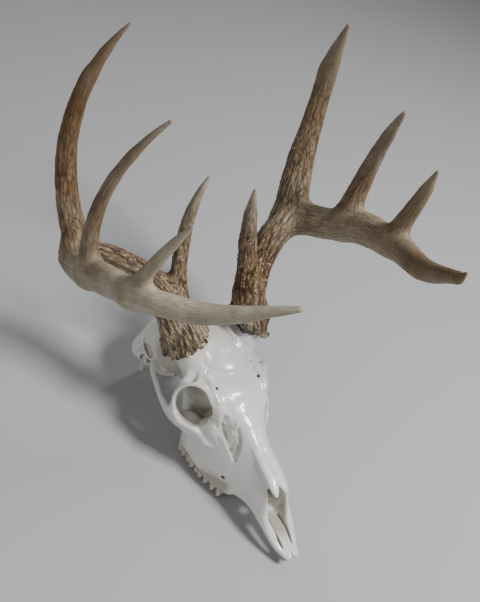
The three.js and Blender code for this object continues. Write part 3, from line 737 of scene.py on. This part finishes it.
for name, regions, node in BONES:
    own = rest
    if regions:
        region = regions[0]
        for other in regions[1:]:
            region = np.maximum(region, other)
        own = np.maximum(rest, region - SUTURE_LAP / 2)
        rest = np.maximum(rest, -region - SUTURE_LAP / 2)
    points, quads = surface_of(clay, own)
    steps = points / VOXEL - clay.start
    skin = (np.abs(sampled(clay.field, steps)) < 0.3)[:, None]
    normals = np.where(skin, slope_at(clay.field, steps), slope_at(own, steps))
    # each bone carries painted olive shade for its hollows, and its concavity, which paints dark shade into
    # its creases
    piece = piece_from(name, points, quads, bone, normals, hollow=sampled(near_hollow, steps) / 2,
                       deep=painted_shade_at(points, steps, normals))
    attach(piece, "root")
    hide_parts(node)

# ---- Cheek teeth ----------------------------------------------------------
# Three premolars and three molars each side, tall crowns of enamel with a
# crescent pit in each lobe, set in the upper jaw. The skull rests on their
# outer points. Each row is worked as one solid and parted between the teeth.
TEETH = [  # forward, side, lobe radius, lobes, from front to rear
    ("premolar_1", 190, 26, 4.4, 1), ("premolar_2", 181, 28, 5.0, 1), ("premolar_3", 171, 30, 5.4, 1),
    ("molar_1", 159, 32, 5.8, 2), ("molar_2", 144, 33.5, 6.2, 2), ("molar_3", 128, 34.5, 6.0, 2),
]
TOOTH_VOXEL = 0.45
NECK_UP = 19.0                   # mm up, where the teeth enter the jaw
CROWN_TIPS_UP = 0.2

row = Clay((16, REAR_Y - 200, -2), (46, REAR_Y - 114, 24), TOOTH_VOXEL)
for name, at, out, radius, lobes in TEETH:
    for k in range(lobes):
        middle = at + (k - (lobes - 1) / 2) * radius * 1.25
        row.add(bar([(out - 0.6, middle, NECK_UP, 0.88 * radius, 0.84 * radius),
                     (out, middle, 10, 0.86 * radius, 0.9 * radius),
                     (out + 0.5, middle, 5.4, 0.62 * radius, 0.78 * radius)], up=(0, 1, 0), sides=28), 0.8)
        cusp = out + 0.62 * radius
        row.add(bar([(cusp, middle, 12, 0.5 * radius, 0.26 * radius),
                     (cusp + 0.6, middle, 6, 0.5 * radius, 0.24 * radius),
                     (cusp + 0.9, middle - 0.4, 2.6, 0.28 * radius, 0.18 * radius),
                     (cusp + 0.8, middle - 0.6, 0.7, 0.5, 0.5)], up=(0, 1, 0)), 1)
        row.add(bar([(out - 0.6 * radius, middle, 11, 0.42 * radius, 0.22 * radius),
                     (out - 0.6 * radius, middle, 5, 0.3 * radius, 0.2 * radius),
                     (out - 0.6 * radius, middle, 2.8, 0.5, 0.5)], up=(0, 1, 0)), 1)
        for edge in (-0.6, 0.6):
            row.add(bar([(cusp + 0.6, middle + edge * radius, 13, 0.6, 0.6),
                         (cusp + 0.9, middle + edge * radius, 5.4, 0.5, 0.5)], up=(0, 1, 0)), 1)
        row.cut(lump((out, middle, 3.4), (0.4 * radius, 0.55 * radius, 3.6)), 0.6)
_, tooth_forward, tooth_up = row.places()
row.field = np.maximum(row.field, CROWN_TIPS_UP - tooth_up)

enamel, nodes, links, shader = finish_of("enamel_of_teeth")
stain = ranged(noise(260, 4), 0.4, 0.75, 0, 0.8)
colour = mixed(stain, (0.66, 0.62, 0.52, 1), (0.36, 0.29, 0.18, 1))
# painted dark shade in the gaps between the lobes and in the pits of the crowns
colour = mixed(ranged(attribute("hollow"), 0.1, 0.7, 0, 0.95), colour,
               (0.07, 0.045, 0.025, 1))
links.new(colour, shader.inputs["Base Color"])
shader.inputs["Roughness"].default_value = 0.25
shader.inputs["Coat Weight"].default_value = 0.6
shader.inputs["Coat Roughness"].default_value = 0.1
links.new(bumped(noise(1400, 2), 0.0002, 0.3), shader.inputs["Normal"])

# concavity of the row, which paints dark shade into its gaps
tooth_hollow = row.field - blurred(np.clip(row.field, -2, 2), 5)
half_length = [radius * (0.62 if lobes == 2 else 1) * lobes for _, _, _, radius, lobes in TEETH]
ends = [200, *((TEETH[k][1] - half_length[k] + TEETH[k + 1][1] + half_length[k + 1]) / 2
               for k in range(len(TEETH) - 1)), 110]
for (name, *_), front, back in zip(TEETH, ends, ends[1:]):
    own = np.maximum(row.field, np.maximum(tooth_forward - front, back - tooth_forward) + 0.15)
    points, quads = surface_of(row, own)
    shade = sampled(tooth_hollow, points / TOOTH_VOXEL - row.start)
    for sign, word in ((1, "left"), (-1, "right")):
        piece = piece_from(f"{name}_{word}", points * (sign, 1, 1), quads[:, ::sign], enamel, hollow=shade)
        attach(piece, "root")
        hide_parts("upper_jaw")

# ---- Antlers --------------------------------------------------------------
# Two branched antlers, each grown as one piece from its stump: a burr at the
# foot, a beam that sweeps back, out and forward, and four tines along it. The
# lower lengths are deeply furrowed and stained, the tips are worn smooth.
BEAM = [  # side, forward, up, half height, half thickness
    (36, 80, 122, 17.5, 17.5), (42, 68, 139, 17.5, 17.5), (54, 46, 159, 18, 17), (74, 27, 178, 17, 15),
    (105, 7, 190, 16, 14.5), (135, -4, 193, 17, 15), (147, 32, 209, 15.5, 13), (151, 76, 237, 16, 12.5),
    (148, 109, 252, 14.5, 12), (143, 138, 266, 12.5, 11), (118, 185, 289, 9.5, 8.5), (88, 234, 327, 4, 4),
]
TINES = {
    "brow_tine": dict(station=1.15, root=14, middle=9.5, bow=(2, -18, 0), right=(26, 23, 290),
                      left=(25, 34, 276), left_bow=(3, -12, 0), left_girth=1.0),
    "tine_2": dict(station=4.7, root=17, middle=11.8, bow=(19, -30, -2), right=(117, -16, 419),
                   left=(116, -16, 421)),
    "tine_3": dict(station=6.45, root=13, middle=7.6, bow=(13, -14, 1), right=(124, 79, 391),
                   left=(123, 83, 387)),
    "tine_4": dict(station=8.25, root=11, middle=7.2, bow=(3, 0, 1), right=(134, 149, 348),
                   left=(133, 138, 359)),
}
SIDES = {
    "left": dict(sign=1, foot=0.92, girth=1.14, lift=4, sag=5, end=(85, 236, 326, 5.5, 5.5)),
    "right": dict(sign=-1, foot=1.08, girth=0.9, lift=0, sag=0, end=(87, 233, 332, 2.4, 2.4)),
}
TINE_FLATTENING = 0.82
TINE_BROAD_WAY = (0.69, -0.73, 0)
TIP_RADIUS = 1.8
BURR_STATION = 0.45
BURR_SHIFT = (1.5, 0, 0)
BURR_LEAN = (0.60, -0.25, 0.76)  # way that the burr faces: out, forward, up
BURR = [(-4, 22.5), (0, 25), (3, 24.4), (8, 20.5)]  # mm along that way, radius
BURR_KNOBS = 26
KNOB_OUT = 24.6                  # mm from the burr's middle
BURR_UNDERSIDE = 4.5             # mm under its middle, where the burr is flat
# How furrowed and how brown each length is, along the beam's stations and
# along a tine from root to tip. The brown is partly the antler's own stain and
# partly painted shade on the tines and bends that stand away from the light.
FURROWED = {
    "left": dict(beam=[1, 1, 0.95, 0.85, 0.7, 0.45, 0.3, 0.25, 0.22, 0.2, 0.15, 0.12],
                 brow_tine=[1, 0.9, 0.75, 0.4, 0.05], tine_2=[0.6, 0.55, 0.45, 0.25, 0.05],
                 tine_3=[0.4, 0.4, 0.3, 0.15, 0.03], tine_4=[0.25, 0.3, 0.22, 0.1, 0.02]),
    "right": dict(beam=[1, 1, 0.9, 0.8, 0.8, 0.5, 0.16, 0.12, 0.1, 0.1, 0.08, 0.04],
                  brow_tine=[1, 0.85, 0.6, 0.3, 0.04], tine_2=[0.45, 0.45, 0.35, 0.2, 0.04],
                  tine_3=[0.25, 0.3, 0.25, 0.12, 0.03], tine_4=[0.12, 0.14, 0.1, 0.06, 0.02]),
}
BROWN_AND_SHADE = {
    "left": dict(beam=[0.3, 0.8, 1, 0.9, 0.55, 0.4, 0.4, 0.5, 0.6, 0.7, 0.8, 0.85],
                 brow_tine=[1, 0.95, 0.85, 0.6, 0.1], tine_2=[0.7, 0.8, 0.85, 0.75, 0.4],
                 tine_3=[0.6, 0.75, 0.85, 0.75, 0.35], tine_4=[0.6, 0.75, 0.8, 0.7, 0.35]),
    "right": dict(beam=[0.5, 0.5, 0.65, 0.75, 0.75, 0.65, 0.5, 0.42, 0.32, 0.2, 0.08, 0],
                  brow_tine=[0.8, 0.8, 0.7, 0.55, 0.15], tine_2=[0.7, 0.95, 1, 0.95, 0.5],
                  tine_3=[0.5, 0.75, 0.85, 0.75, 0.35], tine_4=[0.3, 0.35, 0.35, 0.25, 0.1]),
}


def smoothstep(value, low, high):
    t = np.clip((value - low) / (high - low), 0, 1)
    return t * t * (3 - 2 * t)


def beam_rows(foot, girth, lift, sag, end, **_):
    """Rows along a beam, made stouter, raised and lowered as its side of the head has it."""
    rows = []
    for i, (x, f, z, high, wide) in enumerate(BEAM[:-1]):
        grown = foot if i == 1 else 1 + (girth - 1) * smoothstep(i, 2, 5)
        raised = lift * smoothstep(i, 4, 6) - (lift + sag) * smoothstep(i, 7, 10)
        rows.append((x, f, z + raised, high * grown, wide * grown))
    return np.array(rows + [end], float)


def tine_rows(tine, word, rows):
    """Rows along a tine, from inside the beam to its tip."""
    girth = tine.get(word + "_girth", SIDES[word]["girth"])
    root = through(rows, [tine["station"]])[0, :3]
    tip = np.array(tine[word], float)
    bend = (root + tip) / 2 + 2 * np.array(tine.get(word + "_bow", tine["bow"]), float)
    t = np.linspace(0, 1, 17)[:, None]
    track = root * (1 - t) ** 2 + 2 * bend * t * (1 - t) + tip * t ** 2
    middle = tine["middle"]
    radii = np.array([tine["root"], (tine["root"] + middle) / 2.1, middle, 0.78 * middle, TIP_RADIUS])
    radii *= girth
    radius = np.interp(t[:, 0] * 4, np.arange(5), radii)
    return np.column_stack([track, radius, radius * TINE_FLATTENING])


def spotted(points, seed):
    """Smooth random values from 0 to 1 at points, one cell to a unit."""
    table = np.random.default_rng(seed).random((32, 32, 32))
    cell = np.floor(points).astype(int)
    t = points - cell
    t = t * t * (3 - 2 * t)
    total = np.zeros(len(points))
    for corner in np.ndindex(2, 2, 2):
        weight = np.prod(np.where(corner, t, 1 - t), axis=1)
        total += weight * table[tuple(((cell + corner) % 32).T)]
    return total


def beside(points, rows, up):
    """Of each point: station and millimetres along the rows, turn about them, distance in radii."""
    at = np.linspace(0, len(rows) - 1, 140)
    track = through(rows, at)
    centres = place(*track[:, :3].T)
    tangents = unit(np.gradient(centres, axis=0))
    across = unit(np.cross(tangents, np.array(up, float)))
    height = np.cross(across, tangents)
    length = np.concatenate([[0], np.cumsum(np.linalg.norm(np.diff(centres, axis=0), axis=1))])
    nearest = np.concatenate([
        np.argmin(((chunk[:, None] - centres) ** 2).sum(-1), axis=1)
        for chunk in np.array_split(points, len(points) // 4000 + 1)])
    offset = points - centres[nearest]
    turn = np.arctan2((offset * height[nearest]).sum(-1), (offset * across[nearest]).sum(-1))
    distance = np.linalg.norm(offset, axis=1) / track[nearest, 3]
    ahead = (offset * tangents[nearest]).sum(-1)
    return at[nearest], length[nearest] + ahead, turn, distance


def furrows(grain, seed):
    """Narrow wandering lines that run lengthways, from 0 between them to 1 in them."""
    wide = spotted(grain / (2.9, 2.9, 20) + 7.3, seed + 1)
    return np.clip(1 - np.abs(2 * wide - 1) * 2.4, 0, 1) ** 1.2


ANTLER_PALE = (0.59, 0.53, 0.405, 1)
ANTLER_GREY = (0.35, 0.30, 0.21, 1)
ANTLER_TAN = (0.165, 0.092, 0.035, 1)
ANTLER_STAIN = (0.040, 0.018, 0.006, 1)
ANTLER_IVORY = (0.56, 0.43, 0.26, 1)
antler, nodes, links, shader = finish_of("antler")


def grown_lines(name):
    """Lengthwise lines and small beads that follow a branch, from its own grain coordinates."""
    source = nodes.new("ShaderNodeAttribute")
    source.attribute_name = name
    drawn = []
    for stretch in ((1, 1, 0.08), (1, 1, 0.5)):
        node = nodes.new("ShaderNodeMapping")
        node.inputs["Scale"].default_value = stretch
        links.new(source.outputs["Vector"], node.inputs["Vector"])
        drawn.append(node.outputs["Vector"])
    streaks = nodes.new("ShaderNodeMath")
    streaks.operation = "PINGPONG"
    streaks.inputs[1].default_value = 0.06
    links.new(noise(270, 3, drawn[0]), streaks.inputs[0])
    beads = nodes.new("ShaderNodeTexVoronoi")
    beads.inputs["Scale"].default_value = 330
    links.new(drawn[1], beads.inputs["Vector"])
    in_streak = ranged(streaks.outputs[0], 0.0, 0.035, 1, 0)
    on_bead = ranged(beads.outputs["Distance"], 0.15, 0.6, 1, 0)
    return in_streak, on_bead


def blended(factor, first, second):
    """Number between two others by a third."""
    mix = nodes.new("ShaderNodeMix")
    for socket, value in zip(mix.inputs[:4], (factor, None, first, second)):
        if value is not None:
            links.new(value, socket)
    return mix.outputs[0]


def product(first, second):
    node = nodes.new("ShaderNodeMath")
    node.operation = "MULTIPLY"
    links.new(first, node.inputs[0])
    links.new(second, node.inputs[1])
    return node.outputs[0]


brown = attribute("brown")
furrow = attribute("furrow")
rough = attribute("rough")
on_tine = attribute("tine_share")
beam_streaks, beam_beads = grown_lines("beam_grain")
tine_streaks, tine_beads = grown_lines("tine_grain")
streaks = blended(on_tine, beam_streaks, tine_streaks)
beads = blended(on_tine, beam_beads, tine_beads)
cloud = noise(55, 5)
base = mixed(ranged(cloud, 0.35, 0.7, 0, 0.6), ANTLER_PALE, ANTLER_GREY)
# brown stain, partly painted shade on the tines and bends that stand away from the light
colour = mixed(brown, base, ANTLER_TAN)
raised = product(beads, ranged(rough, 0.15, 0.8, 0, 0.68))
colour = mixed(raised, colour, ANTLER_IVORY)
colour = mixed(product(streaks, ranged(rough, 0, 0.7, 0.25, 0.95)), colour, ANTLER_STAIN)
colour = mixed(furrow, colour, ANTLER_STAIN)
links.new(colour, shader.inputs["Base Color"])
links.new(ranged(cloud, 0.3, 0.8, 0.42, 0.62), shader.inputs["Roughness"])
shader.inputs["Specular IOR Level"].default_value = 0.3
ridged = bumped(product(streaks, ranged(rough, 0, 0.8, 0.15, 1)), -0.0008, 0.8)
beaded = bumped(raised, 0.0008, 0.7, ridged)
links.new(bumped(noise(500, 4), 0.0004, 0.4, beaded), shader.inputs["Normal"])

ANTLER_VOXEL = 1.1
antlers = {}
for word, sizes in SIDES.items():
    rows = beam_rows(**sizes)
    growth = Clay((8, REAR_Y - 252, 104), (182, REAR_Y + 42, 432), ANTLER_VOXEL)
    growth.add(bar(rows, sides=32, fineness=14))
    foot = through(rows, [BURR_STATION])[0, :3] + BURR_SHIFT
    growth.add(bar([(*(foot + at * np.array(BURR_LEAN)), radius, radius) for at, radius in BURR],
                   up=(1, 0, 0), sides=32), 6)
    branches = {"beam": (rows, (0, 0, 1))}
    for name, tine in TINES.items():
        branches[name] = (tine_rows(tine, word, rows), TINE_BROAD_WAY)
        growth.add(bar(branches[name][0], up=TINE_BROAD_WAY, sides=28, fineness=3), 12)
    if word == "left":
        growth.add(bar([(85, 235, 327, 4.5, 4.5), (82, 240, 333, 2.6, 2.6), (80, 242, 338, 1.6, 1.6)]), 3)
    middle = place(*foot)
    up_axis = unit(np.array(BURR_LEAN) * (1, -1, 1))
    level = unit(np.cross(up_axis, (1, 0, 0)))
    upright = np.cross(level, up_axis)
    chance = np.random.default_rng(21 + sizes["sign"])
    for turn in np.linspace(0, 2 * np.pi, BURR_KNOBS, endpoint=False) + chance.normal(0, 0.06, BURR_KNOBS):
        out = KNOB_OUT + chance.normal(0, 0.9)
        knob = middle + out * (np.cos(turn) * level + np.sin(turn) * upright)
        knob += chance.normal(-0.6, 1.6) * up_axis
        growth.add(lump((knob[0], REAR_Y - knob[1], knob[2]), chance.uniform(1.9, 3.6, 3), fineness=10), 1.5)
    x, f, z = growth.places()
    y = REAR_Y - f
    under = (middle[0] - x) * up_axis[0] + (middle[1] - y) * up_axis[1] + (middle[2] - z) * up_axis[2]
    growth.field = np.maximum(growth.field, under - BURR_UNDERSIDE)
    points, quads = surface_of(growth, growth.field)
    outward = slope_at(growth.field, points / ANTLER_VOXEL - growth.start)
    found = {name: beside(points, *branch) for name, branch in branches.items()}
    distance = np.stack([values[3] for values in found.values()])
    weight = np.exp(-7 * (distance - distance.min(axis=0)))
    weight /= weight.sum(axis=0)
    line, rough_here, tone = (np.zeros(len(points)) for _ in range(3))
    grain = {}
    for share, (name, (station, mm_along, turn, _)) in zip(weight, found.items()):
        last = len(branches[name][0]) - 1
        for total, table in ((rough_here, FURROWED), (tone, BROWN_AND_SHADE)):
            values = table[word][name]
            total += share * np.interp(station / last, np.linspace(0, 1, len(values)), values)
        reach = 14 if name == "beam" else 10
        grain[name] = np.column_stack([reach * np.cos(turn), reach * np.sin(turn), mm_along])
        line += share * furrows(grain[name], 40 + len(name))
    nearest_tine = distance[1:].argmin(axis=0)
    tine_grain = np.stack([grain[name] for name in TINES])[nearest_tine, np.arange(len(points))]
    swell = 0.8 * (spotted(points / 13, 61) - 0.5) + 0.9 * rough_here * (spotted(points / 3.1, 62) - 0.5)
    points += outward * (swell - rough_here * (1.3 * line - 0.35))[:, None]
    piece = piece_from(
        f"antler_{word}", points * (sizes["sign"], 1, 1), quads[:, ::sizes["sign"]], antler,
        brown=np.clip(tone + 0.35 * (spotted(points / 24, 63) - 0.5), 0, 1),
        furrow=np.clip(line * (0.1 + 1.1 * rough_here) * (0.4 + 0.6 * tone), 0, 0.92), rough=rough_here,
        pearled=np.clip(rough_here * 1.6 - 0.7, 0, 1) * (1 - line), tine_share=1 - weight[0],
        beam_grain=grain["beam"] * METRES, tine_grain=tine_grain * METRES)
    antlers[word] = piece
    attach(piece, "root")
    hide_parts(*(f"antler_{word}_{part}" for part in ("base", "beam", "beam_end", *TINES)))

# ---- Pearls of the antlers ------------------------------------------------
# Small round beads of antler that grow between the furrows of the burr and of
# the lower lengths. They are strewn where the antler's "pearled" value is high,
# each a little wider or flatter than the next.
PEARLS_PER_SQUARE_METRE = 42000
PEARL_RADIUS = 0.0010
PEARL_SEED = 5
PEARL_STRETCH = ((0.6, 0.6, 0.4), (1.4, 1.9, 0.8))   # least and most, in radii

pearl, nodes, links, shader = finish_of("pearls_of_antler")
colour = mixed(ranged(noise(160, 4), 0.25, 0.6), ANTLER_IVORY, ANTLER_TAN)
links.new(colour, shader.inputs["Base Color"])
shader.inputs["Roughness"].default_value = 0.5
links.new(bumped(noise(1200, 3), 0.0002, 0.4), shader.inputs["Normal"])

strewing = bpy.data.node_groups.new("pearls_on_antler", "GeometryNodeTree")


def asked(name, kind, in_out="INPUT"):
    """A named socket of the strewing tree."""
    return strewing.interface.new_socket(name, in_out=in_out, socket_type=f"NodeSocket{kind}")


def step(kind, **inputs):
    """A node of the strewing tree, with its inputs set or linked. Underscores stand for spaces."""
    node = strewing.nodes.new(kind)
    for key, value in inputs.items():
        socket = node.inputs[key.replace("_", " ")]
        if isinstance(value, bpy.types.NodeSocket):
            strewing.links.new(value, socket)
        else:
            socket.default_value = value
    return node


asked("Antler", "Geometry")
asked("Pearls", "Geometry", "OUTPUT")
settings = {asked("Pearls per square metre", "Float").identifier: PEARLS_PER_SQUARE_METRE,
            asked("Pearl radius", "Float").identifier: PEARL_RADIUS,
            asked("Seed", "Int").identifier: PEARL_SEED}
given = step("NodeGroupInput").outputs
pearled = step("GeometryNodeInputNamedAttribute", Name="pearled")
crowded = step("ShaderNodeMath")
crowded.operation = "MULTIPLY"
strewing.links.new(pearled.outputs["Attribute"], crowded.inputs[0])
strewing.links.new(given["Pearls per square metre"], crowded.inputs[1])
strewn = step("GeometryNodeDistributePointsOnFaces", Mesh=given["Antler"], Density=crowded.outputs[0],
              Seed=given["Seed"]).outputs
ball = step("GeometryNodeMeshIcoSphere", Subdivisions=2, Radius=given["Pearl radius"])
smooth = step("GeometryNodeSetShadeSmooth", Geometry=ball.outputs["Mesh"])
stretch = step("FunctionNodeRandomValue")
stretch.data_type = "FLOAT_VECTOR"
for socket, value in zip(stretch.inputs, PEARL_STRETCH):
    socket.default_value = value
placed = step("GeometryNodeInstanceOnPoints", Points=strewn["Points"], Rotation=strewn["Rotation"],
              Instance=smooth.outputs["Geometry"], Scale=stretch.outputs[0])
real = step("GeometryNodeRealizeInstances", Geometry=placed.outputs["Instances"])
dressed = step("GeometryNodeSetMaterial", Geometry=real.outputs["Geometry"], Material=pearl)
step("NodeGroupOutput", Pearls=dressed.outputs["Geometry"])

for word, bed in antlers.items():
    piece = bpy.data.objects.new(f"antler_{word}_pearls", bed.data)
    bpy.context.scene.collection.objects.link(piece)
    modifier = piece.modifiers.new("strewing", "NODES")
    modifier.node_group = strewing
    for identifier, value in settings.items():
        modifier[identifier] = value
    mesh = bpy.data.meshes.new_from_object(piece.evaluated_get(bpy.context.evaluated_depsgraph_get()))
    piece.modifiers.remove(modifier)
    piece.data = mesh
    mesh.name = piece.name
    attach(piece, "root")
    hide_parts(f"antler_{word}_base")
